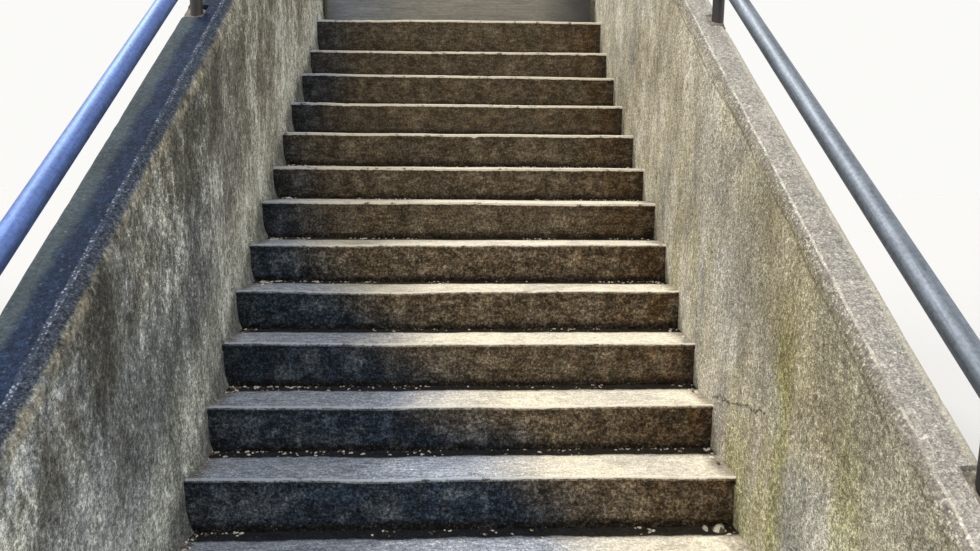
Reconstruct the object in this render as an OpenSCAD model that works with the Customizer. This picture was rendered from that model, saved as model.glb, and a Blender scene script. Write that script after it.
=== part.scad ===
// Straight flight of cast concrete steps between two solid raking parapets.
// Each parapet carries a round tube handrail on posts let into its outer top edge.
// Millimetres, +Z up. The origin is the middle of the footprint at ground level.
// +Y is the way a person walks up the flight and +X is on their right.

/* [Flight] */
// Clear width between the parapets
clear_w = 1905; // [1200:5:3000]
// Depth of each tread, nosing to nosing
going = 254; // [220:1:360]
// Even height of each riser
rise = 177; // [150:1:200]
// Radius of the worn nosing
nosing_r = 9; // [4:1:15]
// How far the landing lies over the even line of the nosings
landing_up = 100; // [0:5:150]

/* [Slabs] */
// Thickness of the raking slab, square to its face
waist_t = 150; // [100:5:220]
// Concrete between the inner corner of an even step and the raking slab
waist_cover = 45; // [35:1:80]
// Depth of the landing, front to back
landing_d = 1100; // [900:10:1800]
// Thickness of the landing slab
landing_t = 200; // [150:5:280]
// Width of the beam under the front of the landing
beam_w = 200; // [150:5:300]
// Thickness of the wall that closes the back
back_wall_t = 150; // [100:5:250]

/* [Top riser board] */
// Thickness of the board that faces the last riser
board_t = 22; // [12:1:40]
// Gap from the board to the left parapet
board_gap_left = 22; // [4:1:40]
// Gap from the board to the right parapet
board_gap_right = 36; // [4:1:60]
// Gap under the board
board_foot_gap = 2; // [0:1:10]

/* [Parapets] */
// Thickness of the left parapet, the thicker of the two
wall_t_left = 174; // [130:1:240]
// Thickness of the right parapet
wall_t_right = 122; // [110:1:200]
// Height of the parapet over the line of the nosings, measured upright
wall_h = 1143; // [700:1:1300]
// Length of parapet past the lowest post
wall_past_post = 134; // [80:2:400]
// Radius of the inner top edge
arris_in_r = 42; // [10:1:50]
// Radius of the outer top edge
arris_out_r = 14; // [4:1:40]
// Place of the upright joint, counted in goings from the first nosing
joint_at = 10.4; // [9:0.1:11]

/* [Handrail] */
// Outer diameter of the handrail tube
rail_d = 60.3; // [42.4:0.1:76.1]
// Upright height of the left tube's middle over its parapet
rail_up_left = 194; // [120:1:320]
// Upright height of the right tube's middle over its parapet
rail_up_right = 190; // [120:1:320]
// Centre line radius of the bend at the landing
elbow_r = 150; // [120:5:260]
// Distance from the tube's end to the end of its parapet
rail_end_inset = 60; // [20:5:200]
// Thickness of the plate that closes each tube end
cap_t = 5; // [3:1:10]

/* [Posts] */
// Outer diameter of a post
post_d = 48.3; // [33.7:0.1:60.3]
// How far the left posts stand inside the outer face of their parapet
post_inset_left = 26; // [-15:1:40]
// The same on the right, where less than zero means that they stand proud of the face
post_inset_right = -6; // [-15:1:20]
// Number of goings between posts on the rake
post_bay = 7; // [5:1:7]
// The nosing that the middle post stands beside, counted from 0 at the first
post_step = 4; // [2:1:4]
// Distance from the landing post to the back end of the parapet
post_end_inset = 220; // [150:10:400]
// Depth of the pocket below the top of the parapet at the post
pocket_h = 240; // [150:5:350]
// Width of the pocket along the parapet
pocket_w = 92; // [80:1:140]
// Mortar behind the post, from its skin to the back of the pocket
pocket_back = 12; // [6:1:30]
// How far the mortar stays below the top of the parapet
mortar_drop = 6; // [2:1:20]

/* [Hidden] */
// Steps under the landing, and one more riser up to the landing itself
steps = 13;
// Hand cast risers are uneven: how far each nosing lies off the even line
tread_off = [0, 8, 2, 2, -6, -8, -3, -13, -8, -7, 7, 8, 70];
slope = rise / going;
rake = atan(slope);
flight_run = steps * going;
wall_lead = (post_bay - post_step) * going + wall_past_post;
total_len = wall_lead + flight_run + landing_d;
front_y = -total_len / 2;
back_y = total_len / 2;
nose_y0 = front_y + wall_lead;
landing_y = nose_y0 + flight_run;
even_head_z = (steps + 1) * rise;
landing_z = even_head_z + landing_up;
parapet_head_z = even_head_z + wall_h;
joint_y = nose_y0 + joint_at * going;
half_w = clear_w / 2;
waist_drop = waist_t / cos(rake);
wall_top_n = wall_h * cos(rake);
rail_knee = elbow_r * tan(rake / 2);
post_steps = [post_step - post_bay, post_step, post_step + post_bay];
landing_post_y = back_y - post_end_inset;
rake_foot = (front_y + rail_end_inset - landing_y) / cos(rake);
rail_head_y = back_y - rail_end_inset;
arc_fn = 48;

// Places along the flight, with k counted from 0 at the first nosing
function nose_y(k) = nose_y0 + k * going;
function tread_z(k) = (k + 1) * rise + tread_off[k];
function nosing_line(y) = rise + (y - nose_y0) * slope;
function waist_top(y) = nosing_line(y) - rise - waist_cover;
function wall_top(y) = min(nosing_line(y) + wall_h, parapet_head_z);
function rail_up(side) = side < 0 ? rail_up_left : rail_up_right;
function rail_z(side, y) = wall_top(y) + rail_up(side);
function post_y(i) = i < 3 ? nose_y(post_steps[i]) : landing_post_y;

// Places across the flight, measured from its middle, with side -1 for left and 1 for right
function wall_t(side) = side < 0 ? wall_t_left : wall_t_right;
function post_inset(side) = side < 0 ? post_inset_left : post_inset_right;
function post_x(side) = half_w + wall_t(side) - post_inset(side) - post_d / 2;
function pocket_deep(side) = pocket_back + post_d + post_inset(side);
function reach_x(side) = max(half_w + wall_t(side), post_x(side) + rail_d / 2);

// The flight is moved across, so that the origin is in the middle of the whole width
flight_x = (reach_x(-1) - reach_x(1)) / 2;

// Outline in Y and Z, drawn between two values of X
module across(x0, x1) {
    translate([x0, 0, 0])
        rotate([90, 0, 90])
            linear_extrude(x1 - x0) children();
}

// Outline in X and height, drawn along the rake from the first nosing
module along_rake(l0, l1) {
    translate([0, nose_y0, rise])
        rotate([rake, 0, 0])
            translate([0, l1, 0])
                rotate([90, 0, 0])
                    linear_extrude(l1 - l0) children();
}

// Outline in X and Z, drawn between two values of Y
module along_level(y0, y1) {
    translate([0, y1, 0])
        rotate([90, 0, 0])
            linear_extrude(y1 - y0) children();
}

// One step: riser and tread with a small round nosing, down to the raking slab
module step(k) {
    y0 = nose_y(k);
    y1 = nose_y(k + 1);
    z = tread_z(k);
    foot0 = max(waist_top(y0), 0);
    foot_y = k == 0 ? y0 + waist_cover / slope : y0;
    color([0.42, 0.40, 0.36])
        across(-half_w, half_w)
            union() {
                polygon([[y0, foot0], [foot_y, foot0], [y1, waist_top(y1)],
                         [y1, z], [y0 + nosing_r, z], [y0 + nosing_r, z - nosing_r],
                         [y0, z - nosing_r]]);
                translate([y0 + nosing_r, z - nosing_r]) circle(r = nosing_r, $fn = arc_fn);
            }
}

// Raking slab that carries the steps
module waist_slab() {
    foot_y = nose_y0 + waist_cover / slope;
    color([0.50, 0.49, 0.46])
        across(-half_w, half_w)
            polygon([[foot_y, 0], [foot_y + waist_drop / slope, 0],
                     [landing_y, waist_top(landing_y) - waist_drop],
                     [landing_y, waist_top(landing_y)]]);
}

module landing_slab() {
    color([0.55, 0.54, 0.50])
        across(-half_w, half_w)
            translate([landing_y, landing_z - landing_t]) square([landing_d, landing_t]);
}

// Beam under the front of the landing, which takes the head of the raking slab
module landing_beam() {
    beam_top = landing_z - landing_t;
    beam_foot = waist_top(landing_y) - waist_drop;
    color([0.50, 0.49, 0.46])
        across(-half_w, half_w)
            translate([landing_y, beam_foot]) square([beam_w, beam_top - beam_foot]);
}

module back_wall() {
    color([0.55, 0.54, 0.50])
        across(-half_w, half_w)
            translate([back_y - back_wall_t, 0]) square([back_wall_t, landing_z - landing_t]);
}

// Smooth board on the last riser, short of the parapets at both ends
module top_riser_board() {
    foot = tread_z(steps - 1) + board_foot_gap;
    color([0.47, 0.49, 0.51])
        across(board_gap_left - half_w, half_w - board_gap_right)
            translate([landing_y - board_t, foot]) square([board_t, landing_z - foot]);
}

// Parapet section with its top at height top, drawn as on the right side
module wall_section(side, top, depth) {
    x0 = half_w;
    x1 = half_w + wall_t(side);
    translate([x0, top - depth]) square([x1 - x0, depth - arris_in_r]);
    translate([x0 + arris_in_r, top - arris_in_r])
        square([x1 - x0 - arris_in_r - arris_out_r, arris_in_r]);
    translate([x1 - arris_out_r, top - arris_in_r])
        square([arris_out_r, arris_in_r - arris_out_r]);
    translate([x0 + arris_in_r, top - arris_in_r]) circle(r = arris_in_r, $fn = arc_fn);
    translate([x1 - arris_out_r, top - arris_out_r]) circle(r = arris_out_r, $fn = arc_fn);
}

// Raking parapet between two values of Y, drop below its true top, drawn on the right side
module rake_wall(side, y0, y1, drop) {
    reach = 400;
    intersection() {
        across(half_w, half_w + wall_t(side))
            polygon([[y0, 0], [y1, 0], [y1, wall_top(y1) + reach], [y0, wall_top(y0) + reach]]);
        along_rake((y0 - nose_y0 - landing_z) / cos(rake), (y1 - nose_y0 + landing_z) / cos(rake))
            wall_section(side, wall_top_n - drop, wall_top_n + 2 * landing_z);
    }
}

// Level parapet beside the landing, drawn on the right side
module level_wall(side, drop) {
    top = parapet_head_z - drop;
    along_level(landing_y, back_y) wall_section(side, top, top);
}

// Pocket that a post stands in, open to the outer face, drawn on the right side
module pocket(side, i) {
    y = post_y(i);
    over = 100;
    deep = pocket_deep(side);
    translate([half_w + wall_t(side) - deep, y - pocket_w / 2, wall_top(y) - pocket_h])
        cube([deep + over, pocket_w, pocket_h + over]);
}

// Mirrors a shape from the right side to the left where side is -1
module on_side(side) {
    if (side < 0) mirror([1, 0, 0]) children();
    else children();
}

module wall_lower(side) {
    color([0.58, 0.55, 0.47])
        on_side(side)
            difference() {
                rake_wall(side, front_y, joint_y, 0);
                for (i = [0 : 2]) pocket(side, i);
            }
}

module wall_upper(side) {
    color([0.66, 0.62, 0.52])
        on_side(side)
            difference() {
                rake_wall(side, joint_y, landing_y, 0);
                for (i = [0 : 2]) pocket(side, i);
            }
}

module wall_landing(side) {
    color([0.66, 0.62, 0.52])
        on_side(side)
            difference() {
                level_wall(side, 0);
                pocket(side, 3);
            }
}

// Mortar packed round the post in each pocket
module pocket_mortar(side) {
    color([0.62, 0.60, 0.56])
        on_side(side)
            difference() {
                union() {
                    for (i = [0 : 2])
                        intersection() {
                            pocket(side, i);
                            rake_wall(side, front_y, landing_y, mortar_drop);
                        }
                    intersection() {
                        pocket(side, 3);
                        level_wall(side, mortar_drop);
                    }
                }
                for (i = [0 : 3])
                    translate([post_x(side), post_y(i), 0])
                        cylinder(d = post_d, h = wall_top(post_y(i)) + pocket_h, $fn = arc_fn);
            }
}

// Stretch of tube on the rake, measured along it from where it would meet the level run
module tube_on_rake(side, l0, l1) {
    translate([post_x(side), landing_y, parapet_head_z + rail_up(side)])
        rotate([rake - 90, 0, 0])
            translate([0, 0, l0])
                cylinder(d = rail_d, h = l1 - l0, $fn = arc_fn);
}

// Stretch of level tube between two values of Y
module tube_level(side, y0, y1) {
    translate([post_x(side), y0, parapet_head_z + rail_up(side)])
        rotate([-90, 0, 0])
            cylinder(d = rail_d, h = y1 - y0, $fn = arc_fn);
}

module rail_rake(side) {
    color([0.60, 0.62, 0.65])
        on_side(side)
            tube_on_rake(side, rake_foot, -rail_knee);
}

module rail_level(side) {
    color([0.60, 0.62, 0.65])
        on_side(side)
            tube_level(side, landing_y + rail_knee, rail_head_y);
}

// Bend that takes the tube from the rake to the level run
module rail_elbow(side) {
    level_z = parapet_head_z + rail_up(side);
    color([0.60, 0.62, 0.65])
        on_side(side)
            translate([post_x(side), landing_y + rail_knee, level_z - elbow_r])
                rotate([90, 0, 90])
                    rotate([0, 0, 90])
                        rotate_extrude(angle = rake, $fn = arc_fn)
                            translate([elbow_r, 0]) circle(d = rail_d, $fn = arc_fn);
}

// Plates that close the two ends of a handrail
module rail_caps(side) {
    color([0.50, 0.52, 0.55])
        on_side(side) {
            tube_on_rake(side, rake_foot - cap_t, rake_foot);
            tube_level(side, rail_head_y, rail_head_y + cap_t);
        }
}

// Post from the foot of its pocket up to the tube, coped to fit round it
module post(side, i) {
    y = post_y(i);
    foot = wall_top(y) - pocket_h;
    reach = 3 * rail_d;
    color([0.14, 0.13, 0.12])
        on_side(side)
            difference() {
                translate([post_x(side), y, foot])
                    cylinder(d = post_d, h = rail_z(side, y) - foot, $fn = arc_fn);
                if (i < 3)
                    tube_on_rake(side, (y - landing_y) / cos(rake) - reach,
                                 (y - landing_y) / cos(rake) + reach);
                else tube_level(side, y - reach, y + reach);
            }
}

translate([flight_x, 0, 0]) {
    step(0);  // step_01
    step(1);  // step_02
    step(2);  // step_03
    step(3);  // step_04
    step(4);  // step_05
    step(5);  // step_06
    step(6);  // step_07
    step(7);  // step_08
    step(8);  // step_09
    step(9);  // step_10
    step(10);  // step_11
    step(11);  // step_12
    step(12);  // step_13
    waist_slab();
    landing_slab();
    landing_beam();
    back_wall();
    top_riser_board();
    wall_lower(-1);  // wall_left_lower
    wall_upper(-1);  // wall_left_upper
    wall_landing(-1);  // wall_left_landing
    wall_lower(1);  // wall_right_lower
    wall_upper(1);  // wall_right_upper
    wall_landing(1);  // wall_right_landing
    pocket_mortar(-1);  // pocket_mortar_left
    pocket_mortar(1);  // pocket_mortar_right
    post(-1, 0);  // post_left_1
    post(-1, 1);  // post_left_2
    post(-1, 2);  // post_left_3
    post(-1, 3);  // post_left_4
    post(1, 0);  // post_right_1
    post(1, 1);  // post_right_2
    post(1, 2);  // post_right_3
    post(1, 3);  // post_right_4
    rail_rake(-1);  // rail_left_rake
    rail_elbow(-1);  // rail_left_elbow
    rail_level(-1);  // rail_left_level
    rail_caps(-1);  // rail_left_caps
    rail_rake(1);  // rail_right_rake
    rail_elbow(1);  // rail_right_elbow
    rail_level(1);  // rail_right_level
    rail_caps(1);  // rail_right_caps
}
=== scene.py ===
"""Outdoor concrete steps between raking parapets that carry tube handrails."""

import math
import random

import bmesh
import bpy
from mathutils import Matrix, Vector, noise


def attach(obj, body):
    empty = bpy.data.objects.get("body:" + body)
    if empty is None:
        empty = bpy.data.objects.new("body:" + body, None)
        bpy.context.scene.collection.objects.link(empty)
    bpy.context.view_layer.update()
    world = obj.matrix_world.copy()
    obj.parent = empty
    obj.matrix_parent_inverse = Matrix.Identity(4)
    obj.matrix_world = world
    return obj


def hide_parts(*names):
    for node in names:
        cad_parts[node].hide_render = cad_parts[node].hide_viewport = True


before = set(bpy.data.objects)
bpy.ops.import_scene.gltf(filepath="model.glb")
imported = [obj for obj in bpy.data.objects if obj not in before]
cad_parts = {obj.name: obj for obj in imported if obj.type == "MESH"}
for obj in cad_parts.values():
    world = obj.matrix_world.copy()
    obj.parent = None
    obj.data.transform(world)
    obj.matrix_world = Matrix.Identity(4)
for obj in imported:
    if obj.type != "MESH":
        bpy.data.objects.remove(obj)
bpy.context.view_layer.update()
bpy.ops.object.select_all(action="DESELECT")

# Sizes of the flight, as in the part's source, in metres
FLIGHT_X = 0.020
HALF_W = 0.9525
GOING = 0.254
RISE = 0.177
STEPS = 13
SLOPE = RISE / GOING
RAKE = math.atan(SLOPE)
NOSE_Y0 = -1.753
LANDING_Y = 1.549
FRONT_Y = -2.649
BACK_Y = 2.649
LANDING_Z = 2.578
WAIST_COVER = 0.045
WALL_H = 1.143
WALL_T = {-1: 0.174, 1: 0.122}
HEAD_Z = 3.621
JOINT_Y = 0.8886
ARRIS_IN = 0.042
ARRIS_OUT = 0.014
TREAD_OFF = [0, 0.008, 0.002, 0.002, -0.006, -0.008, -0.003,
             -0.013, -0.008, -0.007, 0.007, 0.008, 0.070]
POST_D = 0.0483
POST_INSET = {-1: 0.026, 1: -0.006}
POST_YS = [-2.515, -0.737, 1.041, 2.429]
POCKET_H = 0.240
POCKET_W = 0.092
POCKET_BACK = 0.012
RAIL_UP = {-1: 0.194, 1: 0.190}
RAIL_D = 0.0603
SIDES = {-1: "left", 1: "right"}


# Places along the flight, with k counted from 0 at the first nosing
def nose_y(k):
    return NOSE_Y0 + k * GOING


def tread_z(k):
    return (k + 1) * RISE + TREAD_OFF[k]


def nosing_line(y):
    return RISE + (y - NOSE_Y0) * SLOPE


def waist_top(y):
    return nosing_line(y) - RISE - WAIST_COVER


def wall_top(y):
    return min(nosing_line(y) + WALL_H, HEAD_Z)


def inner_x(side):
    return FLIGHT_X + side * HALF_W


def outer_x(side):
    return FLIGHT_X + side * (HALF_W + WALL_T[side])


def post_x(side):
    return outer_x(side) - side * (POST_INSET[side] + POST_D / 2)


# How the cast surfaces stray from true, in millimetres
ACROSS = [-0.82, -0.58, -0.30, -0.02, 0.27, 0.56, 0.80]
NOSING_WAVE = [
    [14, 9, 0, 3, 0, 1, -3],
    [18, 13, -3, 4, 3, 2, -7],
    [11, 6, -1, 3, -7, 0, 1],
    [12, 6, -1, 2, 0, 0, -2],
    [9, -3, -10, 2, 3, 5, 1],
    [-1, -6, 0, -3, 2, 6, 6],
    [3, -2, 1, 3, -4, -6, -4],
    [-3, -4, -3, -5, 0, 0, 1],
    [1, -3, 0, -5, 3, -1, 1],
    [2, -4, -1, 0, -1, 0, 1],
    [4, 1, 1, 0, 1, 0, -3],
    [-4, -5, -4, 1, 4, 6, 8],
    [-15, -11, 1, 5, 5, 8, 7],
]
BULGE_AT = [-3, 0, 2, 4, 6, 8, 9, 10.5, 12, 17]
FOOT_BULGE = {
    -1: [0, -3, -8, 20, 27, 32, 34, 14, 12, 0],
    1: [0, -6, -8, 0, 14, 12, 0, -5, 0, 0],
}
ARRIS_AT = [-3, -1.3, -0.7, 0, 0.9, 1.8, 2.8, 5, 17]
ARRIS_BULGE = {
    -1: [0, -8, -4, 6, 22, 6, -8, 4, 0],
    1: [0, -3, -5, 7, 2, 9, -9, 3, 0],
}


def between(at, values, here):
    """The value at one place, smoothly between the listed ones."""
    if here <= at[0]:
        return values[0]
    for left, right, a, b in zip(at, at[1:], values, values[1:]):
        if here <= right:
            part = (here - left) / (right - left)
            return a + (b - a) * part * part * (3 - 2 * part)
    return values[-1]


def steps_up(y):
    return (y - NOSE_Y0) / GOING


def nosing_wave(k, across):
    """How far a nosing lies over its true line, in metres."""
    return 0.6 * between(ACROSS, NOSING_WAVE[k], across) / 1000


def wall_bulge(side, y, z):
    """How far the inner face of a parapet lies outside its true plane, in metres."""
    foot = between(BULGE_AT, FOOT_BULGE[side], steps_up(y))
    arris = between(ARRIS_AT, ARRIS_BULGE[side], steps_up(y))
    height = (z - nosing_line(y)) / WALL_H
    part = min(max(height, 0), 1)
    return (foot + (arris - foot) * part) / 1000


def ripple(place, size, seed=0.0):
    """Smooth noise from -1 to 1 with lumps of about the given size in metres."""
    return noise.noise(Vector(place) / size + Vector((seed, seed * 0.7, seed * 1.3)))


def smooth_step(low, high, value):
    part = min(max((value - low) / (high - low), 0), 1)
    return part * part * (3 - 2 * part)


# Node graphs
class Signal:
    """A socket of a finish. Arithmetic on it adds Math nodes."""

    def __init__(self, finish, socket):
        self.finish = finish
        self.socket = socket

    def __add__(self, other):
        return self.finish.math("ADD", self, other)

    def __sub__(self, other):
        return self.finish.math("SUBTRACT", self, other)

    def __rsub__(self, other):
        return self.finish.math("SUBTRACT", other, self)

    def __mul__(self, other):
        return self.finish.math("MULTIPLY", self, other)

    def __truediv__(self, other):
        return self.finish.math("DIVIDE", self, other)

    def __abs__(self):
        return self.finish.math("ABSOLUTE", self)

    __radd__ = __add__
    __rmul__ = __mul__


class Finish:
    """A material in the making."""

    def __init__(self, name):
        self.material = bpy.data.materials.new(name)
        self.material.use_nodes = True
        self.tree = self.material.node_tree
        self.tree.nodes.clear()
        self.place = self.node("ShaderNodeTexCoord", output="Object")
        self.x, self.y, self.z = self.split(self.place)

    def node(self, kind, sockets=None, output=0, **settings):
        """Adds one node: its settings first, then the values or links of its sockets. A colour
        is given in the usual 0 to 255 steps."""
        made = self.tree.nodes.new(kind)
        for name, value in settings.items():
            setattr(made, name, value)
        for name, value in (sockets or {}).items():
            socket = made.inputs[name]
            if isinstance(value, Signal):
                self.tree.links.new(value.socket, socket)
            elif socket.type == "RGBA":
                socket.default_value = tone(*value)
            elif socket.type == "VECTOR":
                socket.default_value = value[:3]
            else:
                socket.default_value = value
        return Signal(self, made.outputs[output])

    def math(self, operation, *values):
        return self.node("ShaderNodeMath", dict(enumerate(values)), operation=operation)

    def larger(self, a, b):
        return self.math("MAXIMUM", a, b)

    def split(self, vector):
        first = self.node("ShaderNodeSeparateXYZ", {0: vector})
        return [Signal(self, socket) for socket in first.socket.node.outputs]

    def scaled(self, vector, factors):
        return self.node("ShaderNodeVectorMath", {0: vector, 1: factors}, operation="MULTIPLY")

    def shifted(self, vector, amount):
        return self.node("ShaderNodeVectorMath", {0: vector, 1: amount}, operation="ADD")

    def vector(self, x, y, z):
        return self.node("ShaderNodeCombineXYZ", {0: x, 1: y, 2: z})

    def ramp_up(self, value, low, high):
        """0 under low, 1 over high, and smooth between them."""
        sockets = {"Value": value, "From Min": low, "From Max": high}
        return self.node("ShaderNodeMapRange", sockets, interpolation_type="SMOOTHSTEP")

    def band(self, value, low, high, soft):
        """1 between low and high, fading out over soft."""
        return self.ramp_up(value, low - soft, low) * self.ramp_up(value, high + soft, high)

    def clouds(self, scale, detail=4, rough=0.55, stretch=(1, 1, 1), shift=0.0, vector=None,
               warp=0.0):
        """Noise from 0 to 1, with its scale in lumps a metre."""
        place = self.place if vector is None else vector
        if stretch != (1, 1, 1):
            place = self.scaled(place, stretch)
        if shift:
            place = self.shifted(place, (shift, shift * 0.6, -shift))
        sockets = {"Vector": place, "Scale": scale, "Detail": detail, "Roughness": rough,
                   "Distortion": warp}
        return self.node("ShaderNodeTexNoise", sockets)

    def cells(self, scale, stretch=(1, 1, 1), output=0):
        """Distance from the middle of each cell of a pattern, or the cell's own colour."""
        place = self.place
        if stretch != (1, 1, 1):
            place = self.scaled(place, stretch)
        return self.node("ShaderNodeTexVoronoi", {"Vector": place, "Scale": scale}, output=output)

    def blend(self, factor, a, b):
        sockets = {0: factor, 6: a, 7: b}
        return self.node("ShaderNodeMix", sockets, output=2, data_type="RGBA")

    def mottled(self, colour, **layers):
        """The colour made lighter and darker by this finish's noises, each named with its
        strength in doublings."""
        if not isinstance(colour, Signal):
            colour = tone(*colour)
        power = 0
        for name, strength in layers.items():
            power = power + (getattr(self, name) - 0.5) * strength
        factor = self.math("POWER", 2.0, power)
        scaled = self.node("ShaderNodeVectorMath", {0: colour, "Scale": factor}, operation="SCALE")
        sockets = {0: scaled, 1: (0.86, 0.86, 0.86)}
        return self.node("ShaderNodeVectorMath", sockets, operation="MINIMUM")

    def veins(self, scale, stretch, shift, thin):
        """Thin winding lines, where a noise crosses its middle."""
        noisy = self.clouds(scale, 3, 0.6, stretch=stretch, shift=shift, warp=0.6)
        return self.ramp_up(abs(noisy - 0.5), thin, 0.0)

    def specks(self, scale, share):
        """Small stones that show in a share of the cells of a pattern."""
        near = self.ramp_up(self.cells(scale), 0.34, 0.20)
        chance, _, _ = self.split(self.cells(scale, output="Color"))
        return near * self.ramp_up(chance, share + 0.02, share)

    def surface(self, colour, roughness, height, depth, **fixed):
        """Ends the graph with a Principled shader and a bump of the given depth in metres."""
        bump = self.node("ShaderNodeBump", {"Height": height, "Distance": depth})
        sockets = {"Base Color": colour, "Roughness": roughness, "Normal": bump}
        sockets.update({name.replace("_", " "): value for name, value in fixed.items()})
        shader = self.node("ShaderNodeBsdfPrincipled", sockets)
        self.node_out(shader)
        return self.material

    def node_out(self, shader):
        out = self.tree.nodes.new("ShaderNodeOutputMaterial")
        self.tree.links.new(shader.socket, out.inputs["Surface"])


def tone(red, green, blue):
    """The shader values of a colour given in the usual 0 to 255 steps."""
    parts = [c / 255 for c in (red, green, blue)]
    return (*[c / 12.92 if c <= 0.04045 else ((c + 0.055) / 1.055) ** 2.4 for c in parts], 1)


# Finishes
def measure_step(f):
    """What riser and tread share. The piece's own map carries the distance from the nearer
    parapet as U, here end, and the distance from the nosing as V, here down: over zero down
    the riser and under zero back along the tread."""
    unrolled = f.node("ShaderNodeUVMap", output="UV", uv_map="unrolled")
    f.end, f.down, _ = f.split(unrolled)
    f.across = f.x - FLIGHT_X
    f.big = f.clouds(2.3, 3)
    f.patch = f.clouds(8, 5, 0.6, stretch=(1, 1, 0.8), warp=0.5)
    f.blots = f.clouds(26, 4, 0.68, stretch=(0.8, 1, 1), shift=4.0)
    f.grain = f.clouds(88, 3, 0.72)
    f.threads = f.clouds(62, 4, 0.7, stretch=(0.3, 1, 1), shift=12.0)
    f.sand = f.clouds(190, 2, 0.6)
    # The mask made here is 1 in a painted cast shadow that covers the left of the lower steps and
    # reaches less far across higher up; its opposite stands for sunlit concrete.
    cool_end = f.larger(0.62 - f.z * 1.3, -0.80)
    f.cool = f.ramp_up(cool_end - f.across + (f.big - 0.5) * 0.6, -0.25, 0.25)
    f.warm = 1 - f.cool


def riser_colour(f):
    """Dark and weathered, with a bluish painted shade low down at the left, painted corner shade
    at its ends, a pale lip, and painted shade with dirt at its foot.
    """
    # Lit and shaded copies: the bluish colour is the riser in painted shade, the brown one lit
    # concrete. The lip and dust colours below are split the same way.
    face = f.blend(f.warm, (33, 42, 52), (83, 72, 56))
    rich = f.ramp_up(f.across + (f.patch - 0.5) * 0.5, 0.50, 0.95)
    face = f.blend(rich * 0.75, face, (72, 52, 26))
    tall = f.clouds(12, 5, 0.68, stretch=(1, 1, 0.6), shift=7.0)
    scuff = f.ramp_up(tall, 0.44, 0.62) * f.band(f.down, 0.055, 0.125, 0.04)
    face = f.blend(scuff * 0.42, face, f.blend(f.warm, (94, 99, 104), (118, 109, 92)))
    lip_edge = f.down + (f.blots - 0.5) * 0.010 + (f.grain - 0.5) * 0.008
    lip = f.ramp_up(lip_edge, 0.015, 0.011)
    face = f.blend(lip * 0.85, face, f.blend(f.warm, (118, 122, 124), (140, 131, 112)))
    line = f.band(f.down + (f.threads - 0.5) * 0.006, 0.0055, 0.0075, 0.0015)
    face = f.blend(line * 0.55, face, (46, 42, 34))
    # Painted shade with dirt: the riser darkened towards its foot, where it meets the tread below.
    foot = f.ramp_up(f.down + (f.patch - 0.5) * 0.05, 0.140, 0.168)
    face = f.blend(foot * 0.85, face, (24, 20, 14))
    # Painted shade in the corners where the riser meets the parapets.
    painted_corner_shade = f.ramp_up(f.end + (f.patch - 0.5) * 0.10, 0.09, 0.0)
    face = f.blend(painted_corner_shade * 0.5, face, (26, 26, 24))
    high = f.ramp_up(f.z, 0.9, 1.7)
    face = f.blend(high * 0.25, face, (56, 48, 37))
    face = f.mottled(face, grain=8.5 - high * 3.5, threads=3.8, blots=5.0 - high * 1.5,
                     patch=2.4, sand=4.5 - high * 1.5)
    dusty = f.ramp_up(f.grain * 0.5 + f.threads * 0.25 + f.sand * 0.25, 0.52, 0.64)
    return f.blend(dusty * 0.46, face, f.blend(f.warm, (84, 94, 104), (116, 110, 98)))


def tread_colour(f):
    """Worn pale, with a bluish painted shadow low down at the left, stains, dirt at the ends, and
    at the back a painted shadow of the step above with dirt.
    """
    top = f.blend(f.ramp_up(f.big, 0.35, 0.65), (210, 203, 187), (228, 218, 196))
    dark_patch = f.ramp_up(f.clouds(5, 5, 0.6, shift=2.0), 0.50, 0.66)
    top = f.blend(dark_patch * 0.40, top, (160, 155, 143))
    # Painted shadow: the tread turned bluish grey in the painted shade at the left of the lower
    # steps.
    top = f.blend(f.cool * 0.78, top, (114, 129, 156))
    side = f.ramp_up(f.end + (f.patch - 0.5) * 0.12, 0.085, 0.01)
    top = f.blend(side * 0.7, top, (100, 92, 76))
    top = f.mottled(top, grain=2.4 + f.cool * 1.6, threads=1.6 + f.cool * 1.8,
                    blots=1.0, patch=0.6, sand=2.2 + f.cool * 1.6)
    # Painted shadow of the step above, with dirt: a dark band along the back of the tread.
    inwards = 0 - f.down + (f.patch - 0.5) * 0.05 + (f.grain - 0.5) * 0.03
    back = f.ramp_up(inwards, 0.186, 0.200)
    back_shadow_and_dirt = f.blend(f.warm, (17, 20, 25), (28, 23, 16))
    return f.blend(back * 0.96, top, f.mottled(back_shadow_and_dirt, grain=6.0, blots=3.0))


def step_concrete():
    """Worn pale treads and dark weathered risers, with a bright line along the nosing that is
    partly wear and partly a painted highlight.
    """
    f = Finish("step_concrete")
    measure_step(f)
    wear_edge = f.down + (f.clouds(30, 5, 0.65, shift=3.0) - 0.5) * 0.012
    riser = f.ramp_up(wear_edge, 0.002, 0.004)
    colour = f.blend(riser, tread_colour(f), riser_colour(f))
    # The bright nosing line is worn pale and partly a painted highlight; it widens higher up the
    # flight, and its bluer copy is painted shade.
    edge_foot = 0.006 + f.ramp_up(f.z, 0.95, 1.35) * 0.008
    edge = f.band(wear_edge, -0.006, edge_foot, 0.002) * f.ramp_up(f.blots, 0.32, 0.46)
    worn_edge_lit_and_shaded = f.blend(f.cool, (238, 229, 210), (172, 180, 192))
    colour = f.blend(edge * 0.88, colour, worn_edge_lit_and_shaded)
    specks = f.specks(120, 0.22) * f.ramp_up(f.blots, 0.46, 0.6)
    colour = f.blend(specks * 0.4, colour, (160, 154, 138))
    pits = f.ramp_up(f.cells(90, stretch=(1, 1, 0.8)), 0.16, 0.05)
    height = f.grain * 0.7 + f.threads * 0.4 + f.sand * 0.25 + f.blots * 0.7 - pits * 0.3
    return f.surface(colour, 0.93 - edge * 0.12, height, 0.007, Specular_IOR_Level=0.15)


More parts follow.
